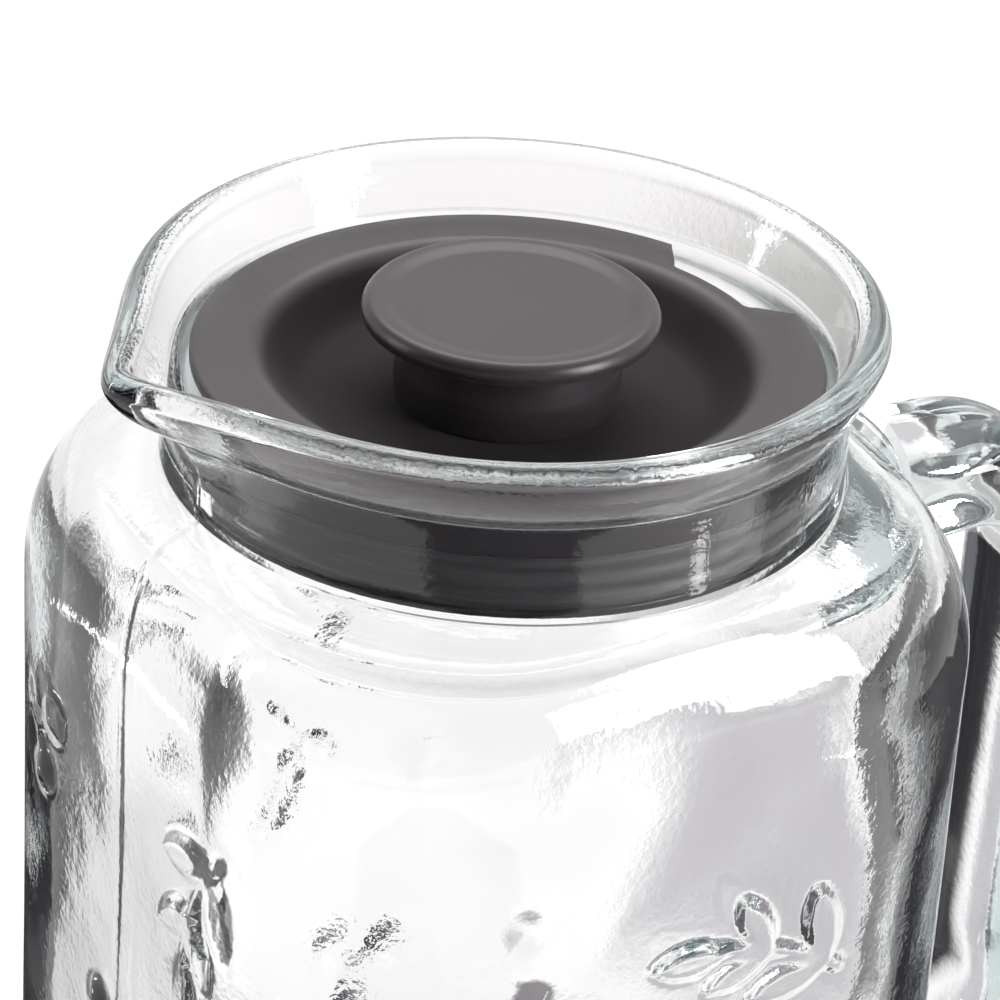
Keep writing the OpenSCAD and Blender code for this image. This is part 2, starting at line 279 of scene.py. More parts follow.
def wave(angles, z, seed, count, z_scale):
    """A smooth random ripple round the jug, about -1 to 1, that closes on itself."""
    rng = np.random.default_rng(seed)
    total = np.zeros(np.broadcast(angles, z).shape)
    for _ in range(count):
        turns = rng.integers(1, WAVE_TURNS + 1)
        slope = rng.normal(0, z_scale)
        phase = rng.uniform(0, 2 * math.pi)
        total += np.sin(np.radians(angles) * turns + z * slope + phase)
    return total / math.sqrt(count)


def square_r(angles, inset):
    """Radius of the body's rounded-square plan, drawn in by `inset`."""
    half = HALF_W - inset
    c = max(CORNER_R - inset, WALL_T)
    flat = half - c
    t = np.radians(np.abs((angles + 45) % 90 - 45))
    straight = half / np.cos(t)
    inside = np.maximum(c**2 - (flat * (np.cos(t) - np.sin(t))) ** 2, 0)
    bend = flat * (np.cos(t) + np.sin(t)) + np.sqrt(inside)
    return np.where(half * np.tan(t) <= flat, straight, bend)


def spout_at(angles):
    """How much of the spout's reach each direction has: 1 at its tip, towards -X."""
    off = np.abs((angles - 180 + 540) % 360 - 180)
    d = np.sqrt(off**2 + SPOUT_TIP_ANGLE**2) - SPOUT_TIP_ANGLE
    return np.exp(-((d / SPOUT_SPREAD) ** SPOUT_POWER))


def spout_level(z, drop):
    """How much of the spout a height has: 1 at the lip, and none `drop` below it."""
    u = min(1, max(0, (z - LIP_Z + drop) / drop))
    return u * u * (3 - 2 * u)


def shoulder_blend(s, height, power):
    """How square the shoulder is at the share `s` of its height below the neck."""
    start = min(s * height / FILLET_H, 1)
    return (1 - (1 - s) ** power) ** (1 / power) * (1 - (1 - start) ** 2)


def ring(z, r, blend=0.0, inset=0.0, size=1.0, spout=0.0):
    """A ring of points between a circle of radius r, at blend 0, and the square plan, at blend 1."""
    d = (r + (square_r(ANGLES, inset) - r) * blend) * size + spout * spout_at(ANGLES) * SPOUT_REACH
    a = np.radians(ANGLES)
    return np.stack([d * np.cos(a), d * np.sin(a), np.full(COLUMNS, float(z))], 1)


def outer_ring(z, r):
    return ring(z, r, spout=spout_level(z, SPOUT_DROP))


def trough_ring(z, r):
    return ring(z, r, spout=spout_level(z, TROUGH_DROP))


def steps(start, end, count):
    return np.linspace(start, end, count + 1)[1:]


def outside_rings():
    """The rings of the outside, from the middle of the underside up to the lip's outer side."""
    hollow_share = (PUSH_H / (PUSH_H + FOOT_CUT)) ** (1 / HOLLOW_POWER)
    rings = [ring(PUSH_H - (PUSH_H + FOOT_CUT) * k**HOLLOW_POWER, 0, 1, EDGE_R + FOOT_W, k)
             for k in steps(0, hollow_share, HOLLOW_RINGS)]
    start = math.acos(1 - FOOT_CUT / EDGE_R)
    rings += [ring(EDGE_R * (1 - math.cos(a)) - FOOT_CUT, 0, 1, EDGE_R * (1 - math.sin(a)))
              for a in np.linspace(start, math.pi / 2, EDGE_RINGS)]
    rings += [ring(z, 0, 1) for z in steps(EDGE_R - FOOT_CUT, WALL_TOP_Z, WALL_RINGS)]
    for s in steps(1, 0, SHOULDER_RINGS) ** RINGS_CROWD:
        z = SHOULDER_Z - SHOULDER_H * s
        blend = shoulder_blend(s, SHOULDER_H, SHOULDER_POWER)
        rings.append(ring(z, NECK_R, blend, spout=spout_level(z, SPOUT_DROP)))
    low = COLLAR_Z - COLLAR_STEP
    rings += [outer_ring(z, NECK_R) for z in steps(SHOULDER_Z, low - 2 * COLLAR_LEAD, NECK_RINGS)]
    for t in steps(0, 1, COLLAR_RINGS):
        soft = t * t * (3 - 2 * t)
        rings.append(outer_ring(low - COLLAR_LEAD + (COLLAR_STEP + COLLAR_LEAD) * t,
                                NECK_R + COLLAR_OUT * soft))
    collar_r = NECK_R + COLLAR_OUT
    out_r = MOUTH_R + LIP_W / 2
    for t in steps(0, 1, FLARE_RINGS)[:-1]:
        rings.append(outer_ring(COLLAR_Z + (LIP_TOP_Z - COLLAR_Z) * t,
                                collar_r + (out_r - collar_r) * t * (1 + FLARE_BOW * (1 - t))))
    return rings


def inside_rings():
    """The rings of the lip and the inside, down to the middle of the floor."""
    rings = [ring(LIP_TOP_Z + LIP_H / 2 * math.sin(a), MOUTH_R + LIP_W / 2 * math.cos(a), spout=1)
             for a in np.radians(np.linspace(0, 180, LIP_RINGS))]
    in_r = MOUTH_R - LIP_W / 2
    cove = SEAT_COVE_H / (LIP_TOP_Z - SEAT_Z)
    rings += [trough_ring(LIP_TOP_Z + (SEAT_Z - LIP_TOP_Z) * t, in_r + (SEAT_R - in_r) * t)
              for t in steps(0, 1 - cove, MOUTH_RINGS)]
    cove_r = SEAT_R + (in_r - SEAT_R) * cove
    rings += [trough_ring(SEAT_Z + SEAT_COVE_H * (1 - t) ** 2,
                          cove_r * (1 - t) ** 2 + 2 * SEAT_R * t * (1 - t) + (SEAT_R - SEAT_COVE_W) * t * t)
              for t in steps(0, 1, COVE_RINGS)]
    rings += [ring(SEAT_Z - SEAT_EDGE_H * (1 - math.sin(a)), BORE_R + SEAT_EDGE_W * (1 - math.cos(a)))
              for a in np.radians(np.linspace(90, 0, SEAT_RINGS))]
    rings += [ring(z, BORE_R) for z in steps(SEAT_Z - SEAT_EDGE_H, BORE_Z, BORE_RINGS)]
    rings += [ring(BORE_Z - INNER_SHOULDER_H * s, BORE_R,
                   shoulder_blend(s, INNER_SHOULDER_H, INNER_SHOULDER_POWER), WALL_T)
              for s in steps(0, 1, INNER_SHOULDER_RINGS) ** RINGS_CROWD]
    rings += [ring(z, 0, 1, WALL_T) for z in steps(INNER_TOP_Z, BASE_T + FLOOR_R, INNER_WALL_RINGS)]
    rings += [ring(BASE_T + FLOOR_R * (1 - math.cos(a)), 0, 1, WALL_T + FLOOR_R * (1 - math.sin(a)))
              for a in np.radians(steps(90, 0, FLOOR_EDGE_RINGS))]
    rings += [ring(BASE_T, 0, 1, WALL_T + FLOOR_R, size) for size in steps(1, FLOOR_MIDDLE, FLOOR_RINGS)]
    return rings


def dome(d, r):
    """Smooth hump of radius r: 1 in the middle, and level again where it ends."""
    return np.clip(1 - (d / r) ** 2, 0, 1) ** DOME_POWER


def leaf(p, q, length, width):
    """Almond-shaped leaf with a sunk vein, its stalk end at the origin and its tip along p."""
    along = np.clip(1 - (2 * p / length - 1) ** 2, 0, 1)
    side = np.maximum(width / 2 * along**LEAF_TAPER, LEAF_THIN)
    body = np.clip(1 - (q / side) ** 2, 0, 1) ** LEAF_ROUND
    vein = VEIN_H * np.exp(-((q / VEIN_W) ** 2)) * np.clip((along - VEIN_START) * VEIN_RISE, 0, 1)
    return body * np.clip(along * LEAF_START, 0, 1) - vein * (body > 0)


def turned(p, q, p0, q0, angle):
    """Coordinates on the glass, seen from the point (p0, q0) and turned by the angle."""
    c, s = math.cos(angle), math.sin(angle)
    return (p - p0) * c + (q - q0) * s, -(p - p0) * s + (q - q0) * c


def sprig(p, q):
    """A bent twig with pairs of leaves and one at its end. Heights from 0 to 1."""
    twig = dome(q - TWIG_BEND * p * p, TWIG_W)
    height = TWIG_H * twig * np.clip((TWIG_REACH - np.abs(p)) / TWIG_FADE, 0, 1)
    for start, angle, size in zip(LEAF_STARTS, LEAF_ANGLES, LEAF_SIZES):
        bend = math.atan(2 * TWIG_BEND * start)
        for side in (-1, 1):
            lp, lq = turned(p, q, start, TWIG_BEND * start * start, bend + side * angle)
            height = np.maximum(height, leaf(lp, lq, *size))
    lp, lq = turned(p, q, TWIG_REACH - END_LEAF_BACK, END_LEAF_SIDE, END_LEAF_ANGLE)
    return np.maximum(height, leaf(lp, lq, *END_LEAF_SIZE))


def berries(p, q):
    """Three round berries on short stalks."""
    height = np.zeros_like(p)
    for angle, reach in BERRIES:
        x, y = reach * math.cos(angle), reach * math.sin(angle)
        height = np.maximum(height, dome(np.hypot(p - x, q - y), BERRY_R))
        lp, lq = turned(p, q, 0, 0, angle)
        height = np.maximum(height, STALK_H * dome(lq, STALK_W) * (lp > 0) * (lp < reach))
    return height


def relief(points):
    """Height of the pressed pattern of twigs and berries at each point of the outside, from 0 to 1."""
    wall = ring(0, 0, 1)
    length = np.hypot(*(np.roll(wall, -1, 0) - wall)[:, :2].T)
    s = np.concatenate([[0], np.cumsum(length)[:-1]])
    total = length.sum()
    z = points[..., 2]
    height = np.zeros(z.shape)
    rng = np.random.default_rng(RELIEF_SEED)
    for row in range(RELIEF_ROWS):
        for k in range(RELIEF_PER_ROW):
            shift = rng.uniform(-RELIEF_SHIFT, RELIEF_SHIFT)
            s0 = (k + 0.5 * (row % 2) + 0.5 + shift) / RELIEF_PER_ROW * total
            z0 = RELIEF_LOW_Z + RELIEF_ROW_STEP * row + rng.uniform(-RELIEF_RISE, RELIEF_RISE)
            angle = rng.uniform(0, 2 * math.pi)
            ds = (s - s0 + total / 2) % total - total / 2
            if min(s0, total - s0) < HANDLE_CLEAR:
                continue
            p, q = turned(np.broadcast_to(ds, z.shape), z, 0, z0, angle)
            shape = sprig if (row + k) % 2 else berries
            height = np.maximum(height, shape(p, q))
    off_corner = RELIEF_END - np.minimum(np.abs(points[..., 0]), np.abs(points[..., 1]))
    return height * np.clip(off_corner / RELIEF_FADE, 0, 1)


def glass_body_mesh():
    """The vessel as one closed skin, with its pressed relief, mould seam and uneven wall."""
    outer = np.array(outside_rings())
    inner = np.array(inside_rings())
    grid = np.concatenate([outer, inner])
    along = np.gradient(grid, axis=0)
    across = np.roll(grid, -1, 1) - np.roll(grid, 1, 1)
    normal = np.cross(across, along)
    normal /= np.maximum(np.linalg.norm(normal, axis=2, keepdims=True), 1e-9)
    lift = np.zeros(grid.shape[:2])
    n = len(outer)
    z = outer[..., 2]
    above_edge = np.clip((z - EDGE_R) / BODY_FADE, 0, 1)
    body = above_edge * np.clip((SHOULDER_Z - BODY_FADE - z) / BODY_FADE, 0, 1)
    lift[:n] += RELIEF_H * relief(outer) * body
    off = np.abs((ANGLES + 90) % 180 - 90) * math.pi / 180 * HALF_W
    seam = SEAM_H * np.exp(-((off / SEAM_W) ** 2)) * (np.abs(ANGLES - 180) < SEAM_ANGLE)
    lift[:n] += seam[None, :] * above_edge * np.clip((COLLAR_Z - SEAM_TOP_GAP - z) / SEAM_TOP_FADE, 0, 1)
    lift[:n] += OUTER_WAVE_H * wave(ANGLES[None, :], z, *OUTER_WAVES) * body
    zi = inner[..., 2]
    below_bore = np.clip((BORE_Z - INNER_TOP_GAP - zi) / INNER_FADE, 0, 1)
    inner_body = below_bore * np.clip((zi - BASE_T - INNER_LOW_GAP) / INNER_FADE, 0, 1)
    lift[n:] += INNER_WAVE_H * wave(ANGLES[None, :], zi, *INNER_WAVES) * inner_body
    return grid + normal * lift[..., None]


def mesh_object(name, verts, faces, material):
    """A smooth mesh in the scene, from points in metres."""
    mesh = bpy.data.meshes.new(name)
    mesh.from_pydata([tuple(v) for v in verts], [], faces)
    mesh.update()
    mesh.polygons.foreach_set("use_smooth", [True] * len(mesh.polygons))
    obj = bpy.data.objects.new(name, mesh)
    bpy.context.scene.collection.objects.link(obj)
    if material:
        mesh.materials.append(material)
    return obj


def loft(name, grid, first, last, material):
    """A closed skin over rings of points, with a point in the middle of each end."""
    rows, cols = grid.shape[:2]
    verts = np.concatenate([grid.reshape(-1, 3), [first, last]]) * MM
    faces = []
    for i in range(rows - 1):
        for j in range(cols):
            k = (j + 1) % cols
            faces.append((i * cols + j, i * cols + k, (i + 1) * cols + k, (i + 1) * cols + j))
    for j in range(cols):
        k = (j + 1) % cols
        faces.append((rows * cols, k, j))
        faces.append((rows * cols + 1, (rows - 1) * cols + j, (rows - 1) * cols + k))
    return mesh_object(name, verts, faces, material)


def handle_grid():
    """Rings of the handle, from its upper root round the grip to its lower root."""
    arm = HANDLE_X - HANDLE_BEND_R - HANDLE_START_X
    low_arm = HANDLE_X - HANDLE_LOW_BEND_R - HANDLE_START_X
    path = [(HANDLE_START_X + arm * k, HANDLE_TOP_Z, 0.0) for k in np.linspace(0, 1, HANDLE_ARM_RINGS)[:-1]]
    for a in np.linspace(0, 90, HANDLE_BEND_RINGS):
        r = math.radians(a)
        path.append((HANDLE_X - HANDLE_BEND_R * (1 - math.sin(r)),
                     HANDLE_TOP_Z - HANDLE_BEND_R * (1 - math.cos(r)), -a))
    top = HANDLE_TOP_Z - HANDLE_BEND_R
    low = HANDLE_LOW_Z + HANDLE_LOW_BEND_R
    path += [(HANDLE_X, z, -90.0) for z in steps(top, low, HANDLE_GRIP_RINGS)[:-1]]
    for a in np.linspace(90, 0, HANDLE_BEND_RINGS):
        r = math.radians(a)
        path.append((HANDLE_X - HANDLE_LOW_BEND_R * (1 - math.sin(r)),
                     HANDLE_LOW_Z + HANDLE_LOW_BEND_R * (1 - math.cos(r)), a - 180))
    path += [(HANDLE_START_X + low_arm * k, HANDLE_LOW_Z, -180.0)
             for k in np.linspace(1, 0, HANDLE_ARM_RINGS)[1:]]
    a = np.radians(np.arange(HANDLE_SIDES) * 360 / HANDLE_SIDES)
    box_cos = np.sign(np.cos(a)) * np.sqrt(np.abs(np.cos(a)))
    box_sin = np.sign(np.sin(a)) * np.sqrt(np.abs(np.sin(a)))
    rings = []
    for x, z, direction in path:
        grow = HANDLE_FLARE * max(0, 1 - (x - HANDLE_START_X) / arm) ** 2
        root = ROOT_FILLET * math.exp(-(x - HANDLE_START_X - ROOT_SUNK) / ROOT_FADE)
        side = (HANDLE_W / 2 + grow / 2 + root) * box_cos
        up = (HANDLE_T / 2 + grow + root) * box_sin
        d = math.radians(direction)
        rings.append(np.stack([x - up * math.sin(d), side, z + up * math.cos(d)], 1))
    return np.array(rings)


def joined_glass(material):
    """Body and handle as one piece of glass."""
    grid = glass_body_mesh()
    body = loft("glass_jug", grid, (0, 0, PUSH_H), (0, 0, BASE_T), material)
    handle = loft("glass_handle_part", handle_grid(), (HANDLE_START_X, 0, HANDLE_TOP_Z),
                  (HANDLE_START_X, 0, HANDLE_LOW_Z), material)
    union = body.modifiers.new("join", "BOOLEAN")
    union.operation = "UNION"
    union.solver = "MANIFOLD"
    union.object = handle
    apply_modifiers(body)
    bpy.data.objects.remove(handle)
    return body


def apply_modifiers(obj):
    view = bpy.context.evaluated_depsgraph_get()
    mesh = bpy.data.meshes.new_from_object(obj.evaluated_get(view), depsgraph=view)
    obj.modifiers.clear()
    old = obj.data
    obj.data = mesh
    bpy.data.meshes.remove(old)


def turned_piece(name, outline, material, segments):
    """A closed ring of points, [radius, height], turned round the axis."""
    pts = np.array(outline, float)
    a = np.arange(segments) * 2 * math.pi / segments
    axis_points = pts[:, 0] < 1e-6
    verts, index = [], []
    for i, (r, z) in enumerate(pts):
        if axis_points[i]:
            index.append([len(verts)] * segments)
            verts.append((0, 0, z))
        else:
            index.append(list(range(len(verts), len(verts) + segments)))
            verts += [(r * math.cos(t), r * math.sin(t), z) for t in a]
    faces = []
    for i in range(len(pts)):
        n = (i + 1) % len(pts)
        if axis_points[i] and axis_points[n]:
            continue
        for j in range(segments):
            k = (j + 1) % segments
            quad = [index[i][j], index[i][k], index[n][k], index[n][j]]
            face = [v for m, v in enumerate(quad) if v not in quad[:m]]
            faces.append(tuple(face))
    return mesh_object(name, np.array(verts) * MM, faces, material)


def rounded(outline, radii, count=CORNER_STEPS):
    """Rounds the corners of a closed outline: radii gives each corner's radius, 0 for sharp."""
    pts = [np.array(p, float) for p in outline]
    made = []
    n = len(pts)
    for i, p in enumerate(pts):
        r = radii[i]
        a, b = pts[i - 1] - p, pts[(i + 1) % n] - p
        la, lb = np.linalg.norm(a), np.linalg.norm(b)
        if r <= 0:
            made.append(p)
            continue
        a, b = a / la, b / lb
        half = math.acos(np.clip(np.dot(a, b), -1, 1)) / 2
        cut = min(r / math.tan(half), CORNER_SHARE * la, CORNER_SHARE * lb)
        r = cut * math.tan(half)
        centre = p + (a + b) / np.linalg.norm(a + b) * (r / math.sin(half))
        start, end = p + a * cut - centre, p + b * cut - centre
        t0 = math.atan2(start[1], start[0])
        turn = (math.atan2(end[1], end[0]) - t0 + math.pi) % (2 * math.pi) - math.pi
        for t in np.linspace(t0, t0 + turn, count + 1):
            made.append(centre + r * np.array([math.cos(t), math.sin(t)]))
    return made


def ease(r0, z0, r1, z1, count=DISH_STEPS):
    """Points of a soft slope that starts and ends level."""
    t = np.linspace(0, 1, count + 1)
    return [(r0 + (r1 - r0) * u, z0 + (z1 - z0) * (1 - math.cos(math.pi * u)) / 2) for u in t]


def cut(obj, cutter):
    """Takes the cutter's space out of a piece, and the cutter out of the scene."""
    away = obj.modifiers.new("cut", "BOOLEAN")
    away.operation = "DIFFERENCE"
    away.solver = "MANIFOLD"
    away.object = cutter
    apply_modifiers(obj)
    bpy.data.objects.remove(cutter)


def notch_plan():
    """Plan of the pouring notch: rounded inner corners, and sides that open out to the rim."""
    low = FLANGE_R - NOTCH_DEPTH
    corner = math.atan(NOTCH_R / low)
    edge = math.radians(NOTCH_ANGLE / 2) - corner
    rim = math.radians(NOTCH_ANGLE / 2 + NOTCH_FLARE)
    half = [(low, edge * k) for k in np.linspace(0, 1, NOTCH_ARC_POINTS)]
    half += [(low + NOTCH_R * (1 - math.cos(a)), edge + corner * math.sin(a))
             for a in np.radians(steps(0, NOTCH_IN_END, NOTCH_IN_STEPS))]
    turn = NOTCH_OUT_R / FLANGE_R
    half += [(FLANGE_R - NOTCH_OUT_R * (1 - math.sin(a)), rim + turn * (1 - math.cos(a)))
             for a in np.radians(np.linspace(*NOTCH_OUT_ENDS, NOTCH_OUT_POINTS))]
    half.append((FLANGE_R + NOTCH_OVERRUN, rim + turn))
    middle = math.radians(NOTCH_DIR)
    points = [(r, -a) for r, a in reversed(half[1:])] + half
    return [(r * math.cos(a + middle), r * math.sin(a + middle)) for r, a in points]


def prism(name, plan, low, high):
    """A straight block over a plan that is given anticlockwise or clockwise."""
    area = sum(plan[i - 1][0] * p[1] - p[0] * plan[i - 1][1] for i, p in enumerate(plan))
    if area < 0:
        plan = plan[::-1]
    n = len(plan)
    verts = [(x, y, low) for x, y in plan] + [(x, y, high) for x, y in plan]
    faces = [tuple(reversed(range(n))), tuple(range(n, 2 * n))]
    faces += [(i, (i + 1) % n, n + (i + 1) % n, n + i) for i in range(n)]
    return mesh_object(name, np.array(verts) * MM, faces, None)


def lid_piece(material):
    """The lid's shell in one piece: stem, dish, flange, skirt, seal groove and pouring notch."""
    dish_z = FLANGE_Z - DISH_DEPTH
    rim_r = FLANGE_R - FLANGE_W
    band_z = dish_z + STEM_BAND_H
    groove_top = SEAL_HIGH.z + GROOVE_GAP
    groove_low = SEAL_LOW.z - GROOVE_GAP
    parts = [((0, dish_z - LID_T), 0), ((0, dish_z), 0), ((STEM_IN_R, dish_z), 0),
             ((STEM_IN_R, LID_HIGH.z), 0), ((STEM_TOP_R, LID_HIGH.z), STEM_TOP_EDGE_R),
             ((STEM_LOW_R - STEM_BAND_OUT, band_z + STEM_BAND_SLOPE), STEM_BAND_R),
             ((STEM_LOW_R, band_z - STEM_BAND_SLOPE), STEM_BAND_R),
             ((STEM_LOW_R, dish_z + STEM_FOOT_H), FINE_R), ((STEM_LOW_R - STEM_FOOT_IN, dish_z), 0)]
    parts += [(p, 0) for p in ease(DISH_FLOOR_R, dish_z, rim_r, FLANGE_Z)]
    parts += [((FLANGE_R, FLANGE_Z), LID_EDGE_R), ((FLANGE_R, FLANGE_Z - FLANGE_T), FINE_R),
              ((SKIRT_R, FLANGE_Z - FLANGE_T), FINE_R), ((SKIRT_R, groove_top), FINE_R),
              ((GROOVE_R, groove_top), GROOVE_CORNER_R), ((GROOVE_R, groove_low), GROOVE_CORNER_R),
              ((SKIRT_R, groove_low), FINE_R), ((SKIRT_R, LID_LOW.z), LID_EDGE_R),
              ((SKIRT_IN_R, LID_LOW.z), SKIRT_CORNER_R), ((SKIRT_IN_R, FLANGE_Z - LID_T), SKIRT_CORNER_R)]
    parts += [(p, 0) for p in ease(rim_r, FLANGE_Z - LID_T, DISH_FLOOR_R, dish_z - LID_T)]
    lid = turned_piece("lid_shell", rounded(*zip(*parts)), material, LID_SEGMENTS)
    notch_low = groove_top + NOTCH_WEB
    cut(lid, prism("notch", notch_plan(), notch_low, FLANGE_Z + NOTCH_OVER_Z))
    soften(lid, MOULD_R)
    return lid


def soften(obj, width):
    """Rounds the sharp edges of a piece a little, as a mould does."""
    bevel = obj.modifiers.new("bevel", "BEVEL")
    bevel.width = width * MM
    bevel.segments = MOULD_SEGMENTS
    bevel.limit_method = "ANGLE"
    bevel.angle_limit = math.radians(SHARP_ANGLE)
    apply_modifiers(obj)
    obj.data.polygons.foreach_set("use_smooth", [True] * len(obj.data.polygons))


def seal_piece(material):
    """The soft band in the groove, with a rib near each edge and a fine ridge between."""
    low, high = SEAL_LOW.z, SEAL_HIGH.z
    face = SEAL_HIGH.x - SEAL_RIB
    parts = [((SEAL_IN_R, low), SEAL_EDGE_R), ((face, low), SEAL_EDGE_R)]
    for middle, size in ((low + SEAL_RIB_IN, SEAL_RIB), ((low + high) / 2, SEAL_RIDGE),
                         (high - SEAL_RIB_IN, SEAL_RIB)):
        parts += [((face + size * math.sin(a), middle - SEAL_RIB_H / 2 * math.cos(a)), 0)
                  for a in np.radians(np.linspace(0, 180, RIB_POINTS))]
    parts += [((face, high), SEAL_EDGE_R), ((SEAL_IN_R, high), SEAL_EDGE_R)]
    return turned_piece("lid_seal_band", rounded(*zip(*parts)), material, LID_SEGMENTS)


def knob_piece(material):
    """The mushroom cap: shallow bare field, raised rim, round edge with its parting line, and plug."""
    top = KNOB_HIGH.z
    field = top - KNOB_RECESS
    parts = [((0, field - KNOB_T), 0), ((0, field), 0)]
    parts += [(p, 0) for p in ease(KNOB_RIM_IN_R - KNOB_RIM_SLOPE_IN, field,
                                   KNOB_RIM_IN_R + KNOB_RIM_SLOPE_OUT, top, KNOB_RIM_STEPS)]
    for a in np.linspace(90, -90, KNOB_EDGE_POINTS):
        off = (a - KNOB_LINE_ANGLE) * math.radians(KNOB_EDGE_R) / KNOB_LINE_W * 2
        out = KNOB_LINE_H * math.exp(-(off**2))
        r = math.radians(a)
        parts.append(((KNOB_BEAD_R + (KNOB_EDGE_R + out) * math.cos(r),
                       KNOB_Z + KNOB_EDGE_R + (KNOB_EDGE_R + out) * math.sin(r)), 0))
    parts += [((PLUG_R, KNOB_Z), PLUG_TOP_EDGE_R), ((PLUG_R, KNOB_LOW.z), FINE_R),
              ((PLUG_R - PLUG_T, KNOB_LOW.z), FINE_R), ((PLUG_R - PLUG_T, field - KNOB_T), FINE_R)]
    return turned_piece("knob_top", rounded(*zip(*parts)), material, KNOB_SEGMENTS)


# The glass: colours are linear and bump heights are in metres. Each noise has its scale per metre, its
# detail and its roughness.
GLASS_IOR = 1.5
TINT = (0.56, 0.66, 0.665, 1)
TINT_DENSITY = 20
PEEL_NOISE = (900, 2, 0.5)
PEEL_DEPTH = 0.00006
PEEL_BODY = 0.3
PEEL_MOUTH = 0.5
SWELL_NOISE = (90, 1, 0.4)
SWELL_DEPTH = 0.0003
SWELL = 0.4
MATTE_RISE = 0.4
MATTE_OUT_H = 2.4
MATTE_FULL_H = 0.8
MATTE_OUT_R = 1.1
MATTE_FULL_R = 0.7

# The lid's plastic
# The darker colour below is painted shade for the dish and the inside of the lid; the paler one is the plain
# plastic.
PLASTIC_PAINTED_SHADE = (0.016, 0.013, 0.015, 1)
PLASTIC_PALE = (0.046, 0.039, 0.043, 1)
PLASTIC_GLOSS = (0.85, 0.77, 0.81, 1)
# Where the painted shade and the duller finish give way to the paler, glossier plastic: below the flange and
# round the skirt's inside, in millimetres
PALE_BELOW = 2
PALE_SKIRT_IN = 0.8
PALE_SKIRT_OUT = 1.2
WORN_NOISE = (60, 5, 0.6)
WORN_SHARE = 0.3
DISH_ROUGHNESS = 0.8
FLANGE_ROUGHNESS = 0.30
PATCH_NOISE = (35, 4, 0.6)
PATCH_ROUGHNESS = 0.1
GRAIN_NOISE = (5200, 2, 0.6)
GRAIN = 0.25
GRAIN_DEPTH = 0.00002

# The seal
RUBBER_DARK = (0.060, 0.054, 0.060, 1)
RUBBER_PALE = (0.076, 0.069, 0.075, 1)
RUBBER_NOISE = (80, 4, 0.6)
RUBBER_ROUGHNESS = 0.5
RUBBER_GRAIN_NOISE = (3000, 2, 0.6)
RUBBER_GRAIN = 0.2


def value_node(tree, kind, place, **settings):
    node = tree.nodes.new(kind)
    node.location = place
    for name, value in settings.items():
        setattr(node, name, value)
    return node


def new_material(name):
    material = bpy.data.materials.new(name)
    material.use_nodes = True
    material.node_tree.nodes.clear()
    return material, material.node_tree


def link(tree, out_node, out_name, in_node, in_name):
    tree.links.new(out_node.outputs[out_name], in_node.inputs[in_name])


def noise(tree, coords, scale, detail, rough):
    node = value_node(tree, "ShaderNodeTexNoise", (-600, 0))
    node.inputs["Scale"].default_value = scale
    node.inputs["Detail"].default_value = detail
    node.inputs["Roughness"].default_value = rough
    link(tree, coords, "Object", node, "Vector")
    return node


def bump(tree, height, strength, distance, previous=None):
    node = value_node(tree, "ShaderNodeBump", (-300, 0))
    node.inputs["Strength"].default_value = strength
    node.inputs["Distance"].default_value = distance
    link(tree, height, "Fac", node, "Height")
    if previous:
        link(tree, previous, "Normal", node, "Normal")
    return node


def axis_distance(tree, coords):
    """Distance from the axis of the neck."""
    plan = value_node(tree, "ShaderNodeVectorMath", (-700, -1100), operation="MULTIPLY")
    plan.inputs[1].default_value = (1, 1, 0)
    link(tree, coords, "Object", plan, 0)
    radius = value_node(tree, "ShaderNodeVectorMath", (-500, -1100), operation="LENGTH")
    link(tree, plan, "Vector", radius, 0)
    return radius


def matte_seat(tree, coords, split):
    """Roughness of the glass: none but on the ledge inside the mouth that the lid sits on."""
    above = value_node(tree, "ShaderNodeMath", (-700, -900), operation="SUBTRACT")
    link(tree, split, "Z", above, 0)
    above.inputs[1].default_value = (SEAT_Z + MATTE_RISE) * MM
    off = value_node(tree, "ShaderNodeMath", (-500, -900), operation="ABSOLUTE")
    link(tree, above, "Value", off, 0)
    near = value_node(tree, "ShaderNodeMapRange", (-300, -900), interpolation_type="SMOOTHSTEP")
    near.inputs["From Min"].default_value = MATTE_OUT_H * MM
    near.inputs["From Max"].default_value = MATTE_FULL_H * MM
    near.inputs["To Max"].default_value = SEAT_MATTE
    link(tree, off, "Value", near, "Value")
    radius = axis_distance(tree, coords)
    inside = value_node(tree, "ShaderNodeMapRange", (-300, -1100))
    inside.inputs["From Min"].default_value = (SEAT_R + MATTE_OUT_R) * MM
    inside.inputs["From Max"].default_value = (SEAT_R + MATTE_FULL_R) * MM
    link(tree, radius, "Value", inside, "Value")
    share = value_node(tree, "ShaderNodeMath", (-100, -1000), operation="MULTIPLY")
    link(tree, near, "Result", share, 0)
    link(tree, inside, "Result", share, 1)
    return share


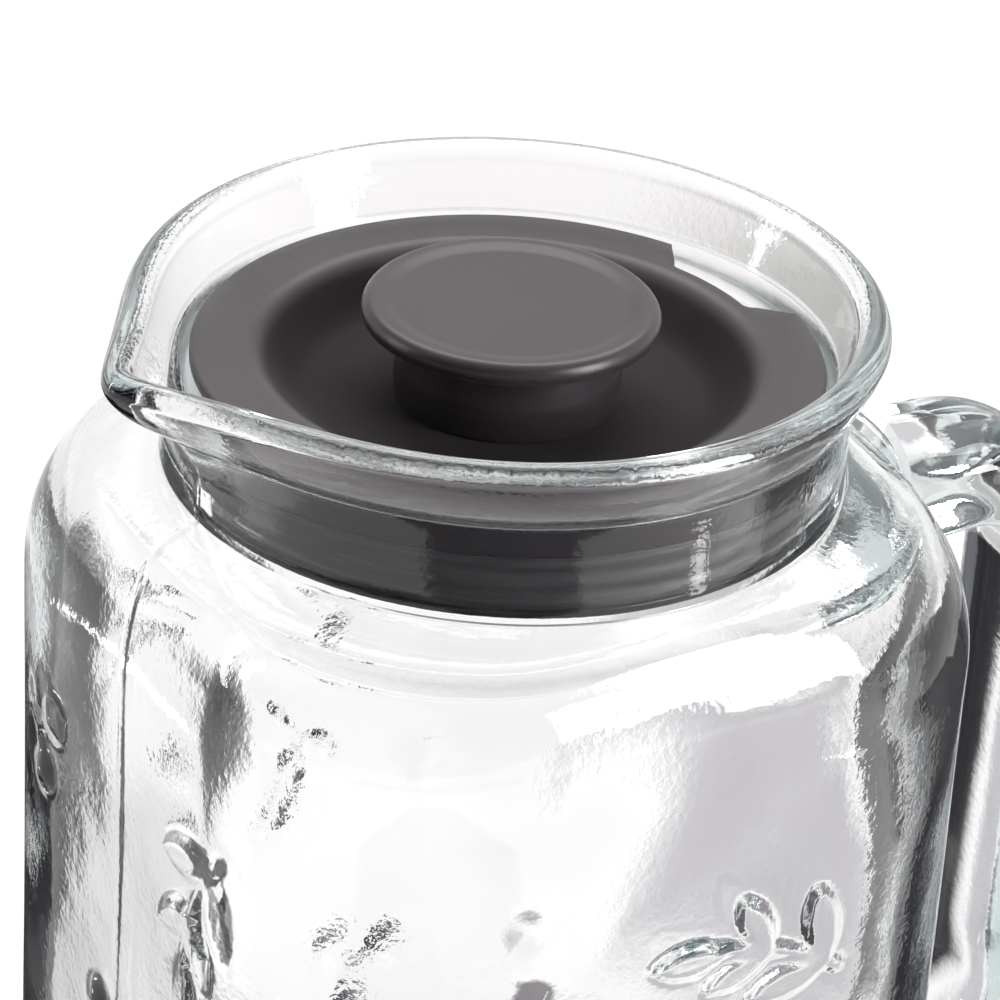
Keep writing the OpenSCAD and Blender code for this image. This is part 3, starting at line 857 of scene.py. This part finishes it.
def glass_material():
    """Clear pressed glass: a faint blue-green tint over long paths and a soft orange peel."""
    material, tree = new_material("clear_glass")
    coords = value_node(tree, "ShaderNodeTexCoord", (-1000, 0))
    out = value_node(tree, "ShaderNodeOutputMaterial", (300, 0))
    glass = value_node(tree, "ShaderNodeBsdfPrincipled", (0, 0))
    glass.inputs["Base Color"].default_value = (1, 1, 1, 1)
    glass.inputs["IOR"].default_value = GLASS_IOR
    glass.inputs["Transmission Weight"].default_value = 1
    peel = bump(tree, noise(tree, coords, *PEEL_NOISE), PEEL_BODY, PEEL_DEPTH)
    split = value_node(tree, "ShaderNodeSeparateXYZ", (-900, -700))
    link(tree, coords, "Object", split, "Vector")
    upper = value_node(tree, "ShaderNodeMapRange", (-700, -700), interpolation_type="SMOOTHSTEP")
    upper.inputs["From Min"].default_value = BORE_Z * MM
    upper.inputs["From Max"].default_value = SEAT_Z * MM
    upper.inputs["To Min"].default_value = PEEL_BODY
    upper.inputs["To Max"].default_value = PEEL_MOUTH
    link(tree, split, "Z", upper, "Value")
    link(tree, upper, "Result", peel, "Strength")
    link(tree, matte_seat(tree, coords, split), "Value", glass, "Roughness")
    swell = bump(tree, noise(tree, coords, *SWELL_NOISE), SWELL, SWELL_DEPTH, peel)
    link(tree, swell, "Normal", glass, "Normal")
    tint = value_node(tree, "ShaderNodeVolumeAbsorption", (0, -400))
    tint.inputs["Color"].default_value = TINT
    tint.inputs["Density"].default_value = TINT_DENSITY
    link(tree, glass, "BSDF", out, "Surface")
    link(tree, tint, "Volume", out, "Volume")
    return material


def plastic_material():
    """Moulded plastic, warm dark grey with a fine grain and a random worn tone, with painted shade that
    darkens it in the dish and inside, where it is also duller.
    """
    material, tree = new_material("lid_plastic")
    coords = value_node(tree, "ShaderNodeTexCoord", (-1000, 0))
    out = value_node(tree, "ShaderNodeOutputMaterial", (300, 0))
    body = value_node(tree, "ShaderNodeBsdfPrincipled", (0, 0))
    ramp = value_node(tree, "ShaderNodeValToRGB", (-300, 200))
    ramp.color_ramp.elements[0].color = PLASTIC_PAINTED_SHADE
    ramp.color_ramp.elements[1].color = PLASTIC_PALE
    link(tree, ramp, "Color", body, "Base Color")
    body.inputs["Specular Tint"].default_value = PLASTIC_GLOSS
    split = value_node(tree, "ShaderNodeSeparateXYZ", (-900, -500))
    link(tree, coords, "Object", split, "Vector")
    depth = value_node(tree, "ShaderNodeMapRange", (-700, -500), interpolation_type="SMOOTHSTEP")
    depth.inputs["From Min"].default_value = (FLANGE_Z - PALE_BELOW) * MM
    depth.inputs["From Max"].default_value = FLANGE_Z * MM
    link(tree, split, "Z", depth, "Value")
    skirt = value_node(tree, "ShaderNodeMapRange", (-300, -1100), interpolation_type="SMOOTHSTEP")
    skirt.inputs["From Min"].default_value = (SKIRT_IN_R - PALE_SKIRT_IN) * MM
    skirt.inputs["From Max"].default_value = (SKIRT_IN_R + PALE_SKIRT_OUT) * MM
    link(tree, axis_distance(tree, coords), "Value", skirt, "Value")
    open_part = value_node(tree, "ShaderNodeMath", (-650, -500), operation="MAXIMUM")
    link(tree, depth, "Result", open_part, 0)
    link(tree, skirt, "Result", open_part, 1)
    # Painted shade: the colour ramp runs dark in the dish and inside the skirt and pale on the open parts,
    # with a random worn tone on top.
    wear_and_painted_shade = value_node(tree, "ShaderNodeMath", (-500, 200), operation="MULTIPLY_ADD")
    wear_and_painted_shade.inputs[1].default_value = WORN_SHARE
    link(tree, noise(tree, coords, *WORN_NOISE), "Fac", wear_and_painted_shade, 0)
    painted_lightness = value_node(tree, "ShaderNodeMapRange", (-600, 0))
    painted_lightness.inputs["To Max"].default_value = 1 - WORN_SHARE
    link(tree, open_part, "Value", painted_lightness, "Value")
    link(tree, painted_lightness, "Result", wear_and_painted_shade, 2)
    link(tree, wear_and_painted_shade, "Value", ramp, "Fac")
    matte = value_node(tree, "ShaderNodeMapRange", (-600, -200))
    matte.inputs["To Min"].default_value = DISH_ROUGHNESS
    matte.inputs["To Max"].default_value = FLANGE_ROUGHNESS
    link(tree, open_part, "Value", matte, "Value")
    patches = value_node(tree, "ShaderNodeMath", (-500, -300), operation="MULTIPLY_ADD")
    patches.inputs[1].default_value = PATCH_ROUGHNESS
    link(tree, noise(tree, coords, *PATCH_NOISE), "Fac", patches, 0)
    link(tree, matte, "Result", patches, 2)
    link(tree, patches, "Value", body, "Roughness")
    grain = bump(tree, noise(tree, coords, *GRAIN_NOISE), GRAIN, GRAIN_DEPTH)
    link(tree, grain, "Normal", body, "Normal")
    link(tree, body, "BSDF", out, "Surface")
    return material


def seal_material():
    """Soft satin rubber, a little warmer and paler than black."""
    material, tree = new_material("seal_rubber")
    coords = value_node(tree, "ShaderNodeTexCoord", (-1000, 0))
    out = value_node(tree, "ShaderNodeOutputMaterial", (300, 0))
    body = value_node(tree, "ShaderNodeBsdfPrincipled", (0, 0))
    ramp = value_node(tree, "ShaderNodeValToRGB", (-300, 200))
    ramp.color_ramp.elements[0].color = RUBBER_DARK
    ramp.color_ramp.elements[1].color = RUBBER_PALE
    link(tree, noise(tree, coords, *RUBBER_NOISE), "Fac", ramp, "Fac")
    link(tree, ramp, "Color", body, "Base Color")
    body.inputs["Roughness"].default_value = RUBBER_ROUGHNESS
    grain = bump(tree, noise(tree, coords, *RUBBER_GRAIN_NOISE), RUBBER_GRAIN, GRAIN_DEPTH)
    link(tree, grain, "Normal", body, "Normal")
    link(tree, body, "BSDF", out, "Surface")
    return material


# The camera, from the photograph: where it stands and how it looks at the middle of the lip
CAM_AZIMUTH = -32.0
CAM_ELEVATION = 28.854
CAM_ROLL = 3.679
CAM_DISTANCE = 608.0
CAM_SIDE = 1.518
CAM_RISE = 25.061
FOCAL_PX = 4600
FRAME_PX = 1000
SENSOR_MM = 36
CLIP_START = 0.01


def make_camera():
    e, roll = math.radians(CAM_ELEVATION), math.radians(CAM_ROLL)
    right, up = Vector((1, 0, 0)), Vector((0, math.sin(e), math.cos(e)))
    ahead = Vector((0, math.cos(e), -math.sin(e)))
    r2 = right * math.cos(roll) + up * math.sin(roll)
    u2 = up * math.cos(roll) - right * math.sin(roll)
    place = -(r2 * CAM_SIDE + u2 * CAM_RISE + ahead * CAM_DISTANCE)
    turn = Matrix.Rotation(math.radians(CAM_AZIMUTH), 3, "Z")
    axes = turn @ Matrix((r2, u2, -ahead)).transposed()
    where = (turn @ place + Vector((0, 0, LIP_Z))) * MM
    data = bpy.data.cameras.new("camera")
    data.sensor_width = SENSOR_MM
    data.lens = FOCAL_PX / FRAME_PX * SENSOR_MM
    data.clip_start = CLIP_START
    camera = bpy.data.objects.new("camera", data)
    camera.matrix_world = Matrix.Translation(where) @ axes.to_4x4()
    bpy.context.scene.collection.objects.link(camera)
    bpy.context.scene.camera = camera


# The studio: what reflections and glass see, what lights the surfaces, and where the dark side begins
WHITE_SIDE = (180, 20)
DARK_FROM = -0.25
WHITE_FROM = 0.35
DARK_SHADE = 0.03
WORLD_LIGHT = 0.08
WORLD_SEEN = 1.0
FLOOR_LIGHT = 0.10
FLOOR_SEEN = 0.84
FLOOR_SIZE = 6
FLOOR_DULL = (0.30, 0.29, 0.295, 1)
PAPER = (1.0, 0.977, 0.97, 1)
LIGHT_AIM = (0, 0, 0.2)
CARD_Z = 0.0012
CARD_STEP = 0.0001


def direction(azimuth, elevation):
    """Unit vector, azimuth in degrees to the right of the camera's own side of the object."""
    a, e = math.radians(azimuth + CAM_AZIMUTH), math.radians(elevation)
    return Vector((math.sin(a) * math.cos(e), -math.cos(a) * math.cos(e), math.sin(e)))


def area_light(name, azimuth, elevation, distance, width, height, power):
    """A soft box that looks at the jug, out of the camera's sight."""
    data = bpy.data.lights.new(name, "AREA")
    data.shape = "RECTANGLE"
    data.size = width
    data.size_y = height
    data.energy = power
    lamp = bpy.data.objects.new(name, data)
    aim = Vector(LIGHT_AIM)
    lamp.location = aim + direction(azimuth, elevation) * distance
    lamp.rotation_euler = (aim - lamp.location).to_track_quat("-Z", "Y").to_euler()
    bpy.context.scene.collection.objects.link(lamp)
    lamp.visible_camera = False


def white_where_seen(tree, light, seen_as):
    """Strength `seen_as` for camera, glossy and transmission rays, and `light` for the light on surfaces."""
    path = value_node(tree, "ShaderNodeLightPath", (-900, 0))
    seen = value_node(tree, "ShaderNodeMath", (-700, 0), operation="MAXIMUM")
    link(tree, path, "Is Camera Ray", seen, 0)
    link(tree, path, "Is Glossy Ray", seen, 1)
    more = value_node(tree, "ShaderNodeMath", (-500, 0), operation="MAXIMUM")
    link(tree, seen, "Value", more, 0)
    link(tree, path, "Is Transmission Ray", more, 1)
    strength = value_node(tree, "ShaderNodeMapRange", (-300, 0))
    strength.inputs["To Min"].default_value = light
    strength.inputs["To Max"].default_value = seen_as
    link(tree, more, "Value", strength, "Value")
    return strength


def make_world():
    """A studio that is white behind and above the jug and dark on the side of the camera."""
    world = bpy.data.worlds.new("studio")
    world.use_nodes = True
    tree = world.node_tree
    tree.nodes.clear()
    out = value_node(tree, "ShaderNodeOutputWorld", (400, 0))
    coords = value_node(tree, "ShaderNodeTexCoord", (-900, -300))
    facing = value_node(tree, "ShaderNodeVectorMath", (-700, -300), operation="DOT_PRODUCT")
    facing.inputs[1].default_value = direction(*WHITE_SIDE)
    link(tree, coords, "Generated", facing, 0)
    shade = value_node(tree, "ShaderNodeMapRange", (-500, -300), interpolation_type="SMOOTHSTEP")
    shade.inputs["From Min"].default_value = DARK_FROM
    shade.inputs["From Max"].default_value = WHITE_FROM
    shade.inputs["To Min"].default_value = DARK_SHADE
    link(tree, facing, "Value", shade, "Value")
    plain = value_node(tree, "ShaderNodeBackground", (0, 100))
    link(tree, white_where_seen(tree, WORLD_LIGHT, WORLD_SEEN), "Result", plain, "Strength")
    link(tree, shade, "Result", plain, "Color")
    white = value_node(tree, "ShaderNodeBackground", (0, -100))
    white.inputs["Color"].default_value = (1, 1, 1, 1)
    path = value_node(tree, "ShaderNodeLightPath", (0, 300))
    pick = value_node(tree, "ShaderNodeMixShader", (200, 0))
    link(tree, path, "Is Camera Ray", pick, 0)
    tree.links.new(plain.outputs[0], pick.inputs[1])
    tree.links.new(white.outputs[0], pick.inputs[2])
    link(tree, pick, "Shader", out, "Surface")
    bpy.context.scene.world = world


def make_floor():
    """Pale paper that is near white where it is seen, and keeps the jug's shadow."""
    corners = [(-FLOOR_SIZE, -FLOOR_SIZE, 0), (FLOOR_SIZE, -FLOOR_SIZE, 0),
               (FLOOR_SIZE, FLOOR_SIZE, 0), (-FLOOR_SIZE, FLOOR_SIZE, 0)]
    material, tree = new_material("studio_floor")
    out = value_node(tree, "ShaderNodeOutputMaterial", (300, 0))
    both = value_node(tree, "ShaderNodeAddShader", (100, 0))
    dull = value_node(tree, "ShaderNodeBsdfDiffuse", (-100, 100))
    dull.inputs["Color"].default_value = FLOOR_DULL
    glow = value_node(tree, "ShaderNodeEmission", (-100, -100))
    glow.inputs["Color"].default_value = PAPER
    link(tree, white_where_seen(tree, FLOOR_LIGHT, FLOOR_SEEN), "Result", glow, "Strength")
    link(tree, dull, "BSDF", both, 0)
    link(tree, glow, "Emission", both, 1)
    link(tree, both, "Shader", out, "Surface")
    floor = mesh_object("studio_floor", corners, [(0, 1, 2, 3)], material)


def card_material(name, shade, edge):
    """A card that glows with its own shade whatever light falls on it, and whose long sides fade out over a
    part of its width, so that gloss shows no hard line.
    """
    material, tree = new_material(name)
    out = value_node(tree, "ShaderNodeOutputMaterial", (400, 0))
    dull = value_node(tree, "ShaderNodeEmission", (0, 0))
    dull.inputs["Color"].default_value = shade
    clear = value_node(tree, "ShaderNodeBsdfTransparent", (0, 100))
    coords = value_node(tree, "ShaderNodeTexCoord", (-900, 0))
    split = value_node(tree, "ShaderNodeSeparateXYZ", (-700, 0))
    link(tree, coords, "Generated", split, "Vector")
    share = None
    for axis in ("X", "Y"):
        middle = value_node(tree, "ShaderNodeMath", (-500, 0), operation="SUBTRACT")
        link(tree, split, axis, middle, 0)
        middle.inputs[1].default_value = 0.5
        off = value_node(tree, "ShaderNodeMath", (-400, 0), operation="ABSOLUTE")
        link(tree, middle, "Value", off, 0)
        fade = value_node(tree, "ShaderNodeMapRange", (-300, 0), interpolation_type="SMOOTHSTEP")
        fade.inputs["From Min"].default_value = 0.5
        fade.inputs["From Max"].default_value = 0.5 - edge
        link(tree, off, "Value", fade, "Value")
        if share is None:
            share = fade
            continue
        both = value_node(tree, "ShaderNodeMath", (-100, 0), operation="MULTIPLY")
        link(tree, share, "Result", both, 0)
        link(tree, fade, "Result", both, 1)
    pick = value_node(tree, "ShaderNodeMixShader", (200, 0))
    link(tree, both, "Value", pick, 0)
    tree.links.new(clear.outputs[0], pick.inputs[1])
    tree.links.new(dull.outputs[0], pick.inputs[2])
    link(tree, pick, "Shader", out, "Surface")
    return material


def floor_card(name, side, back, shade, edge, gloss, through, height):
    """A card lying on the paper, out of the camera's sight. Its place is measured from the jug's axis,
    to the right of the camera and away from it. `gloss` and `through` say whether reflections see it,
    and what is seen through glass."""
    mesh = bpy.data.meshes.new(name)
    corners = [(side[0], back[0], 0), (side[1], back[0], 0), (side[1], back[1], 0), (side[0], back[1], 0)]
    mesh.from_pydata(corners, [], [(0, 1, 2, 3)])
    mesh.materials.append(card_material(name, shade, edge))
    obj = bpy.data.objects.new(name, mesh)
    obj.location = (0, 0, height)
    obj.rotation_euler = (0, 0, math.radians(CAM_AZIMUTH))
    bpy.context.scene.collection.objects.link(obj)
    obj.visible_camera = False
    obj.visible_diffuse = False
    obj.visible_shadow = False
    obj.visible_glossy = gloss
    obj.visible_transmission = through


BLACK = (0.03, 0.028, 0.032, 1)
# SHADE is the grey of the painted shadow of the jug on the paper.
SHADE = (0.26, 0.24, 0.26, 1)
HAZE = (0.56, 0.55, 0.54, 1)
PALE = (0.7, 0.67, 0.7, 1)
DARK = (0.22, 0.205, 0.225, 1)
# GLINT cards glow far above white and light nothing: painted highlights, seen only in reflections on the
# glass neck.
GLINT = (9, 9, 9, 1)

# Each soft box: azimuth and elevation in degrees, distance, width and height in metres, power in watts
LIGHTS = {
    "back_softbox": (180, 56, 0.95, 1.0, 0.5, 6.5),
    "right_softbox": (64, 18, 0.9, 0.3, 0.6, 11),
    "left_softbox": (-92, 15, 0.9, 0.08, 0.5, 1.6),
}

# Each card: sides and near and far ends in metres, shade, faded share of its width, and whether gloss
# sees it and whether it is seen through glass
FLOOR_CARDS = {
    "front_card": ((-0.15, 0.19), (-1.2, -0.06), BLACK, 0.05, True, False),
    "front_glass_card": ((-0.6, 0.6), (-1.2, -0.05), DARK, 0.05, False, True),
    "back_left_card": ((-0.27, -0.082), (0.02, 0.34), BLACK, 0.12, True, True),
    "far_left_card": ((-0.7, -0.2), (0.02, 0.4), BLACK, 0.1, False, True),
    "back_right_card": ((0.11, 0.6), (0.02, 0.32), BLACK, 0.06, True, True),
    "far_right_card": ((0.078, 0.5), (0.29, 0.45), BLACK, 0.12, True, True),
    "haze_card": ((0.03, 0.6), (0.38, 1.1), HAZE, 0.22, True, True),
    "grey_card": ((0.028, 0.11), (0.15, 0.3), PALE, 0.2, True, True),
    # A dark patch on the paper under and behind the jug, seen in gloss and through the glass: a painted
    # shadow of the jug.
    "painted_jug_shadow_card": ((-0.095, 0.095), (-0.02, 0.15), SHADE, 0.15, True, True),
    # The two glint cards are painted highlights: glowing strips that only reflections see.
    "left_glint": ((-0.385, -0.347), (0.1, 0.145), GLINT, 0.1, True, False),
    "right_glint": ((0.347, 0.385), (-0.175, -0.13), GLINT, 0.1, True, False),
}

MAX_BOUNCES = 28
GLASS_BOUNCES = 24
GLOSS_BOUNCES = 10

make_camera()
make_world()
make_floor()
for light_name, light in LIGHTS.items():
    area_light(light_name, *light)
for layer, (card_name, card) in enumerate(FLOOR_CARDS.items()):
    floor_card(card_name, *card, CARD_Z + CARD_STEP * layer)

cycles = bpy.context.scene.cycles
cycles.max_bounces = MAX_BOUNCES
cycles.transmission_bounces = GLASS_BOUNCES
cycles.glossy_bounces = GLOSS_BOUNCES
bpy.context.scene.view_settings.view_transform = "Standard"

glass = glass_material()
plastic = plastic_material()
rubber = seal_material()

jug = joined_glass(glass)
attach(jug, "jug")
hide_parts("jug_body", "jug_handle")

lid = lid_piece(plastic)
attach(lid, "lid")
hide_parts("lid_cover")

knob = knob_piece(plastic)
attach(knob, "lid")
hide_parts("knob_cap")

seal = seal_piece(rubber)
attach(seal, "seal")
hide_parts("lid_seal")
